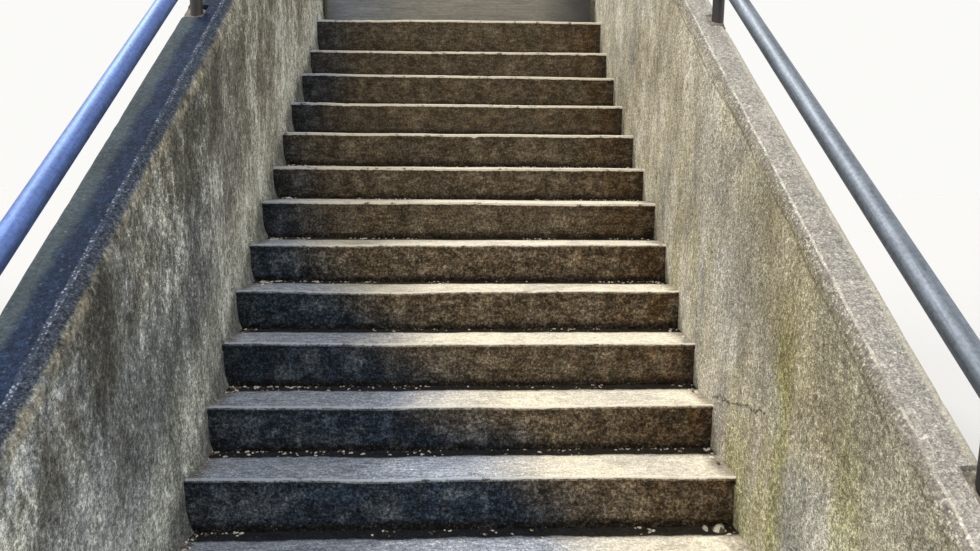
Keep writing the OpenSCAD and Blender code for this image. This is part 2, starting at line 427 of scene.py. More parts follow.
def measure_wall(f):
    """Heights over the nosing line and below the top, depths from the inner and the outer
    face, and arc, which runs round the inner arris from the face, -0.042, to the top, 0.042."""
    across = f.x - FLIGHT_X
    f.right = f.ramp_up(across, -0.1, 0.1)
    f.left = 1 - f.right
    line = (f.y - NOSE_Y0) * SLOPE + RISE
    top_z = f.math("MINIMUM", line + WALL_H, HEAD_Z)
    f.below = (top_z - f.z) * math.cos(RAKE)
    f.over = f.z - line
    f.inside = abs(across) - HALF_W
    f.from_out = WALL_T[-1] + f.right * (WALL_T[1] - WALL_T[-1]) - f.inside
    f.wobble = (f.clouds(6, 5, 0.65, shift=1.0) - 0.5) * 0.04
    f.crumbs = (f.clouds(48, 3, 0.7, shift=2.0) - 0.5) * 0.020
    f.arc = f.inside - f.below + f.wobble * 0.5 + f.crumbs
    f.far = f.ramp_up(f.y, -1.4, 0.2)


def make_wall_noises(f):
    """Noises from coarse to fine, and thin light ridges."""
    f.big = f.clouds(1.6, 3, 0.5)
    f.haze = f.clouds(2.7, 4, 0.60, stretch=(1, 1, 0.5), shift=9.0, warp=0.3)
    f.patch = f.clouds(6.5, 5, 0.66, stretch=(1, 1, 0.6), warp=0.4)
    f.strokes = f.clouds(17, 6, 0.74, stretch=(1, 1, 0.5), shift=4.0, warp=0.5)
    f.hairs = f.clouds(58, 4, 0.76, stretch=(1, 1, 0.70), shift=8.0, warp=0.3)
    f.grain = f.clouds(82, 3, 0.7)
    f.sand = f.clouds(210, 2, 0.6)
    broad = f.veins(15, (1, 1, 0.6), 21.0, 0.022) * f.ramp_up(f.patch, 0.50, 0.62)
    small = f.veins(27, (1, 1, 0.7), 33.0, 0.030) * f.ramp_up(f.haze, 0.50, 0.60)
    f.ridges = f.larger(broad, small)


def right_face(f):
    """Cream, with green streaks and bare patches low down, and painted shade under the arris near
    the foot of the flight.
    """
    worn = f.ramp_up(f.patch * 0.5 + f.big * 0.5, 0.40, 0.60)
    cream = f.blend(worn, (166, 158, 137), (185, 178, 163))
    low_down = f.ramp_up(0.80 - f.over + (f.patch - 0.5) * 1.2, 0.0, 0.7)
    trails = f.ramp_up(f.clouds(7, 4, 0.6, stretch=(1, 1, 0.16), shift=6.0), 0.46, 0.62)
    algae = f.larger(trails * low_down * (0.6 - f.far * 0.45), algae_streaks(f))
    green = f.blend(f.ramp_up(f.grain, 0.36, 0.64), (124, 122, 48), (168, 163, 88))
    bare = f.ramp_up(f.clouds(6, 4, 0.6, stretch=(1, 1, 0.3), shift=11.0), 0.54, 0.66)
    bare = f.larger(bare, f.band(f.y + f.wobble * 2, *BARE_AT, 0.05)) * low_down
    cream = f.blend(bare * 0.75, cream, (154, 152, 148))
    cream = f.blend(algae * 0.72, cream, green)
    washed = f.ramp_up(f.clouds(1.3, 3, 0.55, shift=17.0), 0.50, 0.64)
    cream = f.blend(washed * 0.40, cream, (156, 158, 156))
    # Painted shade: the face darker and more olive just under the arris near the foot of the
    # flight.
    near = f.ramp_up(f.y + f.wobble * 4, -0.9, -1.7)
    painted_shade_under_arris = f.band(f.below + f.wobble * 3, 0.0, 0.34, 0.18) * near
    cream = f.blend(painted_shade_under_arris * 0.50, cream, (120, 112, 76))
    upper = f.ramp_up(f.y, JOINT_Y - 0.003, JOINT_Y + 0.003)
    cream = f.blend(upper * 0.5, cream, (178, 173, 158))
    cream = f.blend(f.ridges * 0.35, cream, (214, 208, 190))
    return f.mottled(cream, grain=4.0, hairs=2.8, strokes=1.9 + f.far * 1.5, sand=4.9, haze=3.0)


def left_face(f):
    """Grey near the foot of the flight and browner far up, pale low down, with dark stains and
    painted shade with dirt where it meets the steps.
    """
    far_up = f.ramp_up(f.y + (f.patch - 0.5) * 1.5, -1.9, -0.1)
    grey = f.blend(far_up, (148, 153, 155), (133, 127, 114))
    gloomy = f.band(f.y + f.wobble * 4, -1.62, -1.18, 0.30)
    grey = f.blend(gloomy * 0.62, grey, (84, 87, 88))
    light = f.ramp_up(f.strokes * 0.5 + f.haze * 0.5, 0.50, 0.60)
    grey = f.blend(light * 0.65, grey, (172, 174, 168))
    under_arris = f.band(f.below + f.wobble * 2, 0.02, 0.24, 0.14)
    olive = under_arris * f.ramp_up(f.patch, 0.70, 0.44)
    grey = f.blend(olive * 0.76, grey, (82, 79, 66))
    dark = f.ramp_up(f.patch * 0.5 + f.haze * 0.5, 0.49, 0.38)
    grey = f.blend(dark * 0.55, grey, (80, 78, 72))
    middle = f.band(f.over + (f.haze - 0.5) * 0.8, 0.48, 0.90, 0.15)
    grey = f.blend(middle * 0.28, grey, (84, 84, 80))
    low = f.ramp_up(f.over + (f.patch - 0.5) * 0.5, 0.46, 0.12)
    grey = f.blend(low * 0.50, grey, (188, 190, 178))
    grey = f.blend(f.ridges * 0.45, grey, (196, 196, 184))
    grey = f.mottled(grey, hairs=5.6, strokes=3.8, grain=4.4, sand=4.2, haze=3.4 - f.far * 0.4)
    # Painted shade with dirt where the wall meets the steps: the face darkened close to the treads
    # and risers.
    tucked = f.ramp_up(f.over + (f.patch - 0.5) * 0.16, 0.05, -0.05)
    painted_corner_shade = f.mottled((54, 57, 58), grain=4.0, sand=4.0)
    return f.blend(tucked * 0.62, grey, painted_corner_shade)


def wall_top_colour(f):
    """Pale at the right. At the left dark blue painted shade, with a greyer strip along its outer
    side where that shade is painted lighter.
    """
    pale = f.mottled((153, 149, 142), grain=2.8, hairs=1.8, sand=3.4, patch=1.6)
    # The pale outer edge of the right top is worn and partly a painted highlight.
    edge = f.ramp_up(f.from_out + f.wobble * 0.6 + f.crumbs, 0.030, 0.018)
    pale = f.blend(edge * 0.55, pale, (198, 192, 172))
    # Painted shade: the left top is dark blue, as concrete lit only by the sky.
    blue = f.mottled((31, 45, 67), grain=4.2, strokes=2.6, patch=2.0, sand=3.2)
    # Along the outer side the painted shade is lighter and greyer.
    strip = f.ramp_up(f.inside + f.wobble * 1.6 + f.crumbs, 0.098, 0.132)
    greyer = f.mottled((70, 80, 84), grain=2.6, patch=1.8)
    blue = f.blend(strip * 0.9, blue, greyer)
    # The arris shoulder is painted less blue, as part of the same painted shade.
    shoulder = f.ramp_up(f.arc + f.crumbs * 1.5, 0.060, 0.014)
    rough = f.mottled((66, 72, 82), grain=7.0, sand=6.0)
    blue = f.blend(shoulder * 0.9, blue, rough)
    return f.blend(f.right, blue, pale)


def mark_wall(f, colour, is_top, crack):
    """Aggregate along the arris, the thin lines beside it, the crack and stones on the top, and
    painted shade on the right arris shoulder.
    """
    stones = f.larger(f.specks(74, 0.7), f.specks(112, 0.7))
    few = f.larger(f.specks(66, 0.10), f.specks(118, 0.22)) * (0.35 + f.right * 0.65)
    patchy = f.ramp_up(f.clouds(9, 3, shift=6.0), 0.34, 0.52)
    # The pale aggregate: its bluer left copy is painted in shade, the right one lit.
    bright = f.blend(f.right, (172, 182, 198), (232, 227, 212))
    # Painted shade: the right arris shoulder darkened.
    zone = f.band(f.arc, -0.045, 0.004, 0.012)
    painted_arris_shade = f.mottled((110, 105, 92), grain=4.0, sand=3.0)
    colour = f.blend(zone * f.right * 0.55, colour, painted_arris_shade)
    colour = f.blend(zone * stones * patchy * (0.14 + f.right * 0.42), colour, bright)
    rim_at = 0.006 + f.left * 0.034
    half = 0.0025 + f.left * 0.003
    rim_arc = f.inside - f.below + f.wobble * 0.3 + f.crumbs * 0.5 - rim_at
    rim = f.band(rim_arc, 0 - half, half, 0.0045)
    scattered = f.right * 0.46 + f.left * 0.08 + stones * (0.72 - f.right * 0.22)
    colour = f.blend(rim * scattered * (0.25 + patchy * 0.75), colour, bright)
    lap = f.band(f.arc, -0.046, -0.016, 0.012) * f.left * f.ramp_up(f.strokes, 0.42, 0.56)
    buff = f.mottled((146, 139, 118), hairs=5.0, grain=4.0)
    colour = f.blend(lap * 0.55, colour, buff)
    seam = f.band(f.below + f.wobble * 0.5, 0.056, 0.061, 0.004) * (1 - is_top) * f.right
    colour = f.blend(seam * 0.5 * patchy, colour, (84, 78, 60))
    colour = f.blend(crack * 0.75, colour, (70, 64, 46))
    return f.blend(few * is_top * (0.30 + f.right * 0.15), colour, bright)


def plain_faces(f, ends):
    """Outer faces and the two ends, weathered from the ground up."""
    plain = f.blend(f.right, (116, 115, 108), (140, 133, 114))
    plain = f.blend(ends, plain, (132, 127, 114))
    run_down = f.ramp_up(f.clouds(6, 4, 0.6, stretch=(1, 1, 0.2), shift=26.0), 0.48, 0.66)
    plain = f.blend(run_down * 0.45, plain, (92, 88, 74))
    splash = f.ramp_up(f.z + (f.patch - 0.5) * 0.5, 0.32, 0.02)
    plain = f.blend(splash * 0.55, plain, (84, 80, 62))
    return f.mottled(plain, haze=2.4, patch=1.6, grain=3.0, hairs=2.4, sand=2.6)


def wall_render():
    """Rendered parapet. The left one is grey, the right one cream with algae low down."""
    f = Finish("wall_render")
    measure_wall(f)
    make_wall_noises(f)
    turn = f.arc + f.crumbs * f.left + 0.025 - f.left * 0.016
    is_top = f.ramp_up(turn, -0.005 - f.left * 0.012, 0.005 + f.left * 0.012)
    face = f.blend(f.right, left_face(f), right_face(f))
    colour = f.blend(is_top, face, wall_top_colour(f))
    crack = crack_line(f)
    colour = mark_wall(f, colour, is_top, crack)
    past_arris = f.ramp_up(f.below - f.from_out, -0.004, 0.004)
    is_outer = past_arris * f.ramp_up(f.from_out, 0.03, 0.02)
    ends = f.larger(f.ramp_up(f.y, BACK_Y - 0.039, BACK_Y - 0.019),
                    f.ramp_up(f.y, FRONT_Y + 0.019, FRONT_Y + 0.004))
    colour = f.blend(f.larger(is_outer, ends), colour, plain_faces(f, ends))
    pits = f.ramp_up(f.cells(70), 0.14, 0.04)
    height = f.hairs * 0.9 + f.strokes * 0.7 + f.grain * 0.6 - pits * 0.3 - crack * 0.8
    return f.surface(colour, 0.94 - is_top * 0.06, height, 0.008, Specular_IOR_Level=0.15)


# Each streak as its place along the flight, half its width, how far up it goes and its strength
ALGAE_AT = [(-1.80, 0.024, 0.98, 0.8), (-2.19, 0.032, 1.02, 1.0), (-1.50, 0.080, 0.34, 0.7)]
BARE_AT = (-2.08, -1.90)


def algae_streaks(f):
    """The green streaks that run down the right parapet where the photo shows them."""
    total = 0
    sway = (f.clouds(3.0, 3, 0.6, shift=14.0) - 0.5) * 0.10
    for y, half, up, strong in ALGAE_AT:
        streak = f.band(f.y + sway, y - half, y + half, 0.05) * strong
        total = total + streak * f.ramp_up(f.over, up + 0.1, up - 0.35)
    return total * f.ramp_up(f.x, FLIGHT_X, FLIGHT_X + 0.5)


# The two ends of the crack
CRACK_Y0, CRACK_Z0 = -1.225, 0.560
CRACK_Y1, CRACK_Z1 = -1.690, 0.655


def crack_line(f):
    """A hairline crack that crosses the right parapet near the foot of the flight."""
    along = (f.y - CRACK_Y0) / (CRACK_Y1 - CRACK_Y0)
    sag = (f.clouds(14, 6, 0.75, shift=17.0) - 0.5) * 0.09
    height = f.z - CRACK_Z0 - along * (CRACK_Z1 - CRACK_Z0) + sag
    wide = f.band(height, -0.0020, 0.0020, 0.0030) * f.ramp_up(f.clouds(20, 3), 0.36, 0.46)
    return wide * f.band(along, 0.02, 0.98, 0.02) * f.ramp_up(f.x, FLIGHT_X, FLIGHT_X + 0.5)


def slab_concrete():
    f = Finish("slab_concrete")
    f.patch = f.clouds(5, 5, 0.6)
    f.grain = f.clouds(70, 4, 0.65)
    colour = f.mottled((126, 122, 112), patch=2.0, grain=2.5)
    return f.surface(colour, 0.92, f.patch * 0.5 + f.grain * 0.5, 0.005)


def landing_concrete():
    """Cast landing, pale where it is walked on and darker on its edges."""
    f = Finish("landing_concrete")
    big = f.clouds(2.0, 4, 0.6, shift=5.0)
    f.patch = f.clouds(7, 5, 0.65)
    f.grain = f.clouds(80, 4, 0.7)
    f.sand = f.clouds(180, 2, 0.6)
    top = f.blend(f.ramp_up(big, 0.42, 0.60), (170, 162, 146), (198, 190, 172))
    worn = f.ramp_up(f.z + (f.grain - 0.5) * 0.01, LANDING_Z - 0.010, LANDING_Z - 0.004)
    colour = f.blend(worn, (112, 106, 94), top)
    colour = f.mottled(colour, patch=2.2, grain=2.6, sand=2.4)
    height = f.patch * 0.4 + f.grain * 0.6
    return f.surface(colour, 0.92, height, 0.005, Specular_IOR_Level=0.15)


def pocket_mortar():
    f = Finish("pocket_mortar")
    f.patch = f.clouds(26, 5, 0.65)
    f.grain = f.clouds(120, 4, 0.65)
    colour = f.mottled((112, 106, 94), patch=4.0, grain=4.0)
    colour = f.blend(f.specks(90, 0.4) * 0.7, colour, (190, 184, 168))
    return f.surface(colour, 0.95, f.patch * 0.5 + f.grain * 0.5, 0.006)


def weathered_board():
    """Smooth grey board with fine streaks along it, darker towards its ends and over its right
    part.
    """
    f = Finish("weathered_board")
    f.streaks = f.clouds(40, 4, 0.6, stretch=(0.10, 1, 1.6))
    f.patch = f.clouds(5, 4, 0.55, stretch=(0.6, 1, 1), shift=2.0)
    f.fine = f.clouds(110, 3, 0.6, stretch=(0.25, 1, 1))
    across = f.x - FLIGHT_X
    base = f.blend(f.ramp_up(across, -0.9, -0.2), (118, 124, 132), (130, 126, 117))
    colour = f.mottled(base, streaks=1.9, patch=1.3, fine=1.6)
    ends = f.ramp_up(abs(across) + (f.patch - 0.5) * 0.3, 0.80, 0.95)
    colour = f.blend(ends * 0.5, colour, (70, 66, 58))
    # Darker over the right part of the board.
    dark_patch = f.ramp_up(across + (f.patch - 0.5) * 0.35 + (f.streaks - 0.5) * 0.1, 0.46, 0.88)
    colour = f.blend(dark_patch * 0.85, colour, (40, 39, 45))
    return f.surface(colour, 0.55 + f.patch * 0.2, f.streaks * 0.6 + f.fine * 0.4, 0.0015)


def post_steel():
    """Old black paint on the posts, dull, with rust near the foot."""
    f = Finish("post_steel")
    f.patch = f.clouds(22, 5, 0.65)
    f.fine = f.clouds(160, 3, 0.6)
    colour = f.mottled((34, 31, 29), patch=3.0, fine=2.0)
    rust = f.ramp_up(f.patch, 0.56, 0.66)
    colour = f.blend(rust * 0.6, colour, (92, 58, 36))
    return f.surface(colour, 0.5 + rust * 0.3, f.patch * 0.5 + f.fine * 0.5, 0.0012)


def rail_steel():
    """Weathered steel tube with dull patches, spots and fine scratches along it, the left one
    tinted blue as a painted sky reflection.
    """
    f = Finish("rail_steel")
    along = f.y * math.cos(RAKE) + f.z * math.sin(RAKE)
    lying = f.vector(f.x, along, f.z * math.cos(RAKE) - f.y * math.sin(RAKE))
    f.brushed = f.clouds(260, 3, 0.6, stretch=(1, 0.03, 1), vector=lying)
    f.patch = f.clouds(9, 4, 0.6, stretch=(1, 0.5, 1), vector=lying, shift=3.0)
    f.grain = f.clouds(90, 3, 0.65, vector=lying)
    # Painted reflection: the left tube is tinted blue for the sky it reflects; the right tube is
    # plain grey steel.
    steel_grey_and_painted_sky_blue = f.blend(f.ramp_up(f.x, -0.1, 0.1), (90, 112, 163), (110, 117, 126))
    colour = f.mottled(steel_grey_and_painted_sky_blue, patch=1.4, brushed=1.2, grain=1.8)
    spots = f.ramp_up(f.grain, 0.60, 0.68)
    colour = f.blend(spots * 0.35, colour, (92, 88, 84))
    roughness = 0.53 + f.patch * 0.12 + spots * 0.12
    return f.surface(colour, roughness, f.brushed * 0.5 + f.grain * 0.6, 0.0005, Metallic=1.0)


def weld_steel():
    """Weld metal, duller and browner than the tube."""
    f = Finish("weld_steel")
    f.grain = f.clouds(180, 3, 0.65)
    f.patch = f.clouds(40, 3, 0.6)
    colour = f.mottled((96, 90, 84), grain=2.0, patch=2.0)
    return f.surface(colour, 0.5 + f.patch * 0.2, f.grain, 0.0008, Metallic=0.7)


def grit():
    """Small stones and crumbs of mortar, each of its own tone."""
    f = Finish("grit")
    pick_one, other, _ = f.split(f.cells(52, output="Color"))
    f.grain = f.clouds(240, 2, 0.6)
    colour = f.blend(f.ramp_up(pick_one, 0.25, 0.45), (96, 84, 66), (214, 207, 190))
    colour = f.blend(f.ramp_up(other, 0.90, 0.92), colour, (92, 66, 48))
    colour = f.mottled(colour, grain=3.0)
    return f.surface(colour, 0.9, f.grain, 0.001)


MAKERS = [grit, step_concrete, wall_render, slab_concrete, landing_concrete, pocket_mortar,
          weathered_board, post_steel, rail_steel, weld_steel]
FINISHES = {make.__name__: make() for make in MAKERS}


# Modelling tools
def start_piece(name):
    """Names the active piece and brings its place into its mesh."""
    piece = bpy.context.object
    piece.name = piece.data.name = name
    bpy.ops.object.transform_apply(location=True, rotation=True, scale=True)
    return piece


def add_block(name, low, high):
    size = [abs(b - a) for a, b in zip(low, high)]
    middle = [(a + b) / 2 for a, b in zip(low, high)]
    bpy.ops.mesh.primitive_cube_add(size=1, location=middle, scale=size)
    return start_piece(name)


def join(parts, name):
    bpy.ops.object.select_all(action="DESELECT")
    for part in parts:
        part.select_set(True)
    bpy.context.view_layer.objects.active = parts[0]
    bpy.ops.object.join()
    piece = start_piece(name)
    piece.select_set(False)
    return piece


def edit(piece):
    """Goes into edit mode on one piece, with all of it selected."""
    bpy.ops.object.select_all(action="DESELECT")
    piece.select_set(True)
    bpy.context.view_layer.objects.active = piece
    bpy.ops.object.mode_set(mode="EDIT")
    bpy.ops.mesh.select_all(action="SELECT")


def leave_edit():
    bpy.ops.object.mode_set(mode="OBJECT")


def pick(kind, test):
    """Selects, in edit mode, the vertices, edges or faces that pass the test."""
    bpy.ops.mesh.select_mode(type=kind)
    bpy.ops.mesh.select_all(action="DESELECT")
    mesh = bmesh.from_edit_mesh(bpy.context.edit_object.data)
    parts = {"VERT": mesh.verts, "EDGE": mesh.edges, "FACE": mesh.faces}[kind]
    for part in parts:
        if test(part):
            part.select_set(True)
    mesh.select_flush_mode()
    bmesh.update_edit_mesh(bpy.context.edit_object.data)


def middle_of(part):
    return sum((v.co for v in part.verts), Vector()) / len(part.verts)


def runs(edge, axis):
    """True for an edge that runs along the given axis."""
    way = edge.verts[1].co - edge.verts[0].co
    return abs(way.normalized()[axis]) > 0.999


def cut_plane(place, normal, clear=False):
    """Cuts all that is selected along a plane; clear takes away what the normal points from."""
    bpy.ops.mesh.bisect(plane_co=place, plane_no=normal, use_fill=clear, clear_inner=clear)


def apply_modifier(piece, kind, **settings):
    modifier = piece.modifiers.new(kind.lower(), kind)
    for name, value in settings.items():
        setattr(modifier, name, value)
    bpy.context.view_layer.objects.active = piece
    bpy.ops.object.modifier_apply(modifier=modifier.name)


def push(piece, axis, amount, most):
    """Moves the skin along one axis by amount(place) metres, never more than most."""
    shares = [amount(vertex.co) / most for vertex in piece.data.vertices]
    for sign in (1, -1):
        group = piece.vertex_groups.new(name="push")
        for index, share in enumerate(shares):
            group.add([index], min(max(sign * share, 0), 1), "REPLACE")
        apply_modifier(piece, "DISPLACE", direction=axis, space="LOCAL", mid_level=0,
                       strength=sign * most, vertex_group="push")
        piece.vertex_groups.clear()


def finish_piece(piece, finish, replaced=(), angle=40):
    """Material, smooth shading, and what the frame has to know."""
    piece.data.materials.clear()
    piece.data.materials.append(FINISHES[finish])
    bpy.ops.object.select_all(action="DESELECT")
    piece.select_set(True)
    bpy.context.view_layer.objects.active = piece
    bpy.ops.object.shade_smooth_by_angle(angle=math.radians(angle))
    piece.select_set(False)
    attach(piece, "root")
    if replaced:
        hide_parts(*replaced)


# Steps
STEP_COLUMNS = (13, 14)
RISER_ROWS = [0.014, 0.022, 0.034, 0.050, 0.070, 0.092, 0.114, 0.134, 0.150, 0.164]
TREAD_ROWS = [0.014, 0.024, 0.040, 0.062, 0.088, 0.116, 0.144, 0.172, 0.198, 0.220, 0.236, 0.246]
NOSING_R = 0.009
STEP_TUCK = 0.014
SLIVER = 0.002
LIP = 0.03
MOST_PUSH = 0.03


def step_foot(k):
    return max(waist_top(nose_y(k)) - 0.02, 0)


def block_step(k):
    """Block cut along the raking slab, with a round nosing and rows and columns of cuts."""
    y0, y1, top = nose_y(k), nose_y(k + 1), tread_z(k)
    left, right = [max(wall_bulge(side, y0, top), wall_bulge(side, y1, top), 0) + STEP_TUCK
                   for side in SIDES]
    low = (inner_x(-1) - left, y0, step_foot(k))
    high = (inner_x(1) + right, y1, top)
    piece = add_block(f"cast_step_{k + 1:02d}", low, high)
    edit(piece)
    cut_plane((0, y0, waist_top(y0)), (0, -SLOPE, 1), clear=True)
    pick("EDGE", lambda e: all(v.co.y < y0 + 0.001 and v.co.z > top - 0.001 for v in e.verts))
    bpy.ops.mesh.bevel(offset=NOSING_R, segments=5, affect="EDGES")
    for depth in RISER_ROWS:
        pick("FACE", lambda p: p.normal.y < -0.9 and p.calc_area() > SLIVER)
        cut_plane((0, y0, top - depth), (0, 0, 1))
    for depth in TREAD_ROWS:
        pick("FACE", lambda p: p.normal.z > 0.9 and p.calc_area() > SLIVER)
        cut_plane((0, y0 + depth, top), (0, 1, 0))
    for count in STEP_COLUMNS:
        pick("EDGE", lambda e: runs(e, 0))
        bpy.ops.mesh.subdivide(number_cuts=count)
    leave_edit()
    return piece


def unroll_step(piece, k):
    """Map with the distance from the nearer parapet as U and from the nosing as V. On a riser
    taller than usual V is squeezed, so that the painted shade and dirt still lie at its foot."""
    y0, top = nose_y(k), tread_z(k)
    while piece.data.uv_layers:
        piece.data.uv_layers.remove(piece.data.uv_layers[0])
    layer = piece.data.uv_layers.new(name="unrolled")
    for loop, cell in zip(piece.data.loops, layer.data):
        co = piece.data.vertices[loop.vertex_index].co
        across = co.x - FLIGHT_X
        side = 1 if across > 0 else -1
        end = HALF_W + wall_bulge(side, co.y, co.z) - abs(across)
        down = (top - co.z) - (co.y - y0)
        if down > LIP and k > 0:
            down = LIP + (down - LIP) * (RISE - LIP) / (top - tread_z(k - 1) - LIP)
        cell.uv = (end, down)


def chip(co, k):
    """Depth of the broken spots along a nosing."""
    y0, top = nose_y(k), tread_z(k)
    on_nosing = smooth_step(0.05, 0.004, (co.y - y0)) * smooth_step(0.055, 0.004, top - co.z)
    lumps = ripple(co, 0.045, 3.1) + 0.5 * ripple(co, 0.018, 8.7)
    where = smooth_step(0.15, 0.55, ripple((co[0], co[1], 0), 0.17, 5.3) + 0.25)
    return max(lumps - 0.30, 0) * 0.012 * where * on_nosing


def model_step(k):
    """One step, with a worn and uneven skin."""
    y0, y1, top = nose_y(k), nose_y(k + 1), tread_z(k)
    piece = block_step(k)
    unroll_step(piece, k)

    def sag(co):
        if co.z < top - 0.17 or co.y > y1 - 0.001 and co.z < top - 0.002:
            return 0
        fade = smooth_step(top - 0.16, top - 0.03, co.z)
        back = 1 - 0.75 * smooth_step(y0 + 0.05, y1, co.y)
        rough = 0.0010 * ripple(co, 0.05, 1.0) + 0.0014 * ripple(co, 0.22, 2.0)
        return (nosing_wave(k, co.x - FLIGHT_X) * back + rough) * fade - chip(co, k)

    def face_wave(co):
        if co.y > y0 + 0.03:
            return 0
        fade = smooth_step(0, 0.03, co.z - step_foot(k))
        rough = 0.0020 * ripple(co, 0.30, 4.0) + 0.0010 * ripple(co, 0.06, 6.0) + 0.002
        return rough * fade + chip(co, k)

    push(piece, "Z", sag, MOST_PUSH)
    push(piece, "Y", face_wave, MOST_PUSH)
    finish_piece(piece, "step_concrete", replaced=[f"step_{k + 1:02d}"])


for step in range(STEPS):
    model_step(step)


# Parapets
COLUMN = 0.016
FACE_ROWS = [0.052, 0.066, 0.085, 0.110] + [0.110 + 0.032 * i for i in range(1, 35)]
OUTER_ROWS = [0.030, 0.060, 0.100, 0.150]
TOP_SHARES = (0.35, 0.5, 0.65, 0.8)


def top_plane(part, y0):
    """A point on the top of a parapet and the way that its top faces."""
    if part == "landing":
        return (0, y0, HEAD_Z), (0, 0, 1)
    return (0, y0, nosing_line(y0) + WALL_H), (0, -math.sin(RAKE), math.cos(RAKE))


def under_top(place, normal, co):
    return sum((a - b) * n for a, b, n in zip(place, co, normal))


def cut_pocket(piece, side, i):
    """Cuts the hole that a post stands in, open to the outer face."""
    y = POST_YS[i]
    outer = outer_x(side)
    inner = outer - side * (POCKET_BACK + POST_D + POST_INSET[side])
    low = (inner, y - POCKET_W / 2, wall_top(y) - POCKET_H)
    high = (outer + side * 0.1, y + POCKET_W / 2, wall_top(y) + 0.1)
    cutter = add_block("cutter", low, high)
    apply_modifier(piece, "BOOLEAN", operation="DIFFERENCE", solver="EXACT", object=cutter)
    bpy.data.objects.remove(cutter)


def scallop(side, y, depth):
    """How far the outer edge is broken away downhill of the post that shows at the right."""
    if side < 0 or not -1.0 < y < POST_YS[1] + POCKET_W:
        return 0
    along = smooth_step(-0.815, -0.765, y) * smooth_step(-0.60, -0.66, y)
    ragged = 0.8 + 0.35 * ripple((y, depth, 3), 0.03, 2.0)
    return 0.016 * along * ragged * smooth_step(0.12, 0.02, depth)


def block_wall(side, part, y0, y1):
    """Block with a raking or level top and round arrises."""
    inner = inner_x(side)
    outer = inner + side * WALL_T[side]
    place, normal = top_plane(part, y0)
    name = f"parapet_{SIDES[side]}_{part}"
    piece = add_block(name, (inner, y0, 0), (outer, y1, HEAD_Z + 0.2))
    edit(piece)
    cut_plane(place, [-n for n in normal], clear=True)

    def on_edge(edge, x):
        return all(abs(v.co.x - x) < 1e-4 and abs(under_top(place, normal, v.co)) < 1e-4
                   for v in edge.verts)

    for x, radius, segments in ((inner, ARRIS_IN, 7), (outer, ARRIS_OUT, 3)):
        pick("EDGE", lambda e: on_edge(e, x))
        bpy.ops.mesh.bevel(offset=radius, segments=segments, affect="EDGES")
    leave_edit()
    return piece


def cut_skin(piece, side, part, y0, y1):
    """Cuts the faces finely enough for the wear to show."""
    inner = inner_x(side)
    outer = inner + side * WALL_T[side]
    place, normal = [Vector(v) for v in top_plane(part, y0)]
    edit(piece)
    for depth in FACE_ROWS:
        pick("FACE", lambda p: abs(p.normal.x) > 0.9 and abs(middle_of(p).x - inner) < 0.001)
        cut_plane(place - normal * depth, normal)
    for depth in OUTER_ROWS:
        pick("FACE", lambda p: abs(p.normal.x) > 0.9 and abs(middle_of(p).x - inner) > 0.01)
        cut_plane(place - normal * depth, normal)
    for share in TOP_SHARES:
        pick("FACE", lambda p: p.normal.dot(normal) > 0.95)
        cut_plane((inner + (outer - inner) * share, 0, 0), (1, 0, 0))
    columns = round((y1 - y0) / COLUMN)
    for i in range(1, columns):
        bpy.ops.mesh.select_all(action="SELECT")
        cut_plane((0, y0 + (y1 - y0) * i / columns, 0), (0, 1, 0))
    leave_edit()


def model_wall(side, part, y0, y1):
    """One length of parapet: block, pockets, then a worn skin."""
    place, normal = top_plane(part, y0)
    piece = block_wall(side, part, y0, y1)
    for i, y in enumerate(POST_YS):
        if y0 - POCKET_W < y < y1 + POCKET_W:
            cut_pocket(piece, side, i)
    cut_skin(piece, side, part, y0, y1)

    def depths(co):
        """Depth below the top and distance outwards from the inner face."""
        return under_top(place, normal, co), abs(co.x - FLIGHT_X) - HALF_W

    def worn(co):
        """Depth of wear at the rounded inner arris."""
        depth, inside = depths(co)
        near = smooth_step(0.10, 0.03, inside + depth)
        lumps = ripple(co, 0.07, 3.0) + 0.6 * ripple(co, 0.028, 9.0)
        return near * (0.0015 + 0.0065 * max(lumps - 0.05, 0))

    def lean(co):
        depth, inside = depths(co)
        share = smooth_step(0.11, 0.005, inside)
        wave = 0.0030 * ripple(co, 0.45, 1.0) + 0.0022 * ripple(co, 0.12, 5.0)
        ends = smooth_step(0.0, 0.004, min(co.y - y0, y1 - co.y)) if part != "lower" else 1
        bulge = wall_bulge(side, co.y, co.z)
        joint = 0.0025 * (1 - ends) * (inside < 0.05)
        broken = scallop(side, co.y, depth) * smooth_step(0.05, 0.09, inside)
        return side * ((bulge + wave + worn(co)) * share + joint - broken)

    def settle(co):
        depth, inside = depths(co)
        share = smooth_step(0.16, 0.0, depth)
        low = 0.0018 + 0.0018 * ripple(co, 0.30, 2.0) + 0.0012 * ripple(co, 0.08, 7.0)
        edge = 0.006 * max(ripple(co, 0.05, 4.0) - 0.15, 0)
        edge = edge * smooth_step(WALL_T[side] - 0.03, WALL_T[side], inside)
        return -(low + edge) * share - worn(co)

    push(piece, "X", lean, 2 * MOST_PUSH)
    push(piece, "Z", settle, MOST_PUSH)
    finish_piece(piece, "wall_render", replaced=[f"wall_{SIDES[side]}_{part}"], angle=50)


for wall_side in SIDES:
    model_wall(wall_side, "lower", FRONT_Y, JOINT_Y)
    model_wall(wall_side, "upper", JOINT_Y, LANDING_Y)
    model_wall(wall_side, "landing", LANDING_Y, BACK_Y)


# Mortar coves where the treads meet the parapets
COVE = {-1: 0.028, 1: 0.001}
COVE_UP = 0.150
COVE_DOWN = 0.012
COVE_CUTS = 16


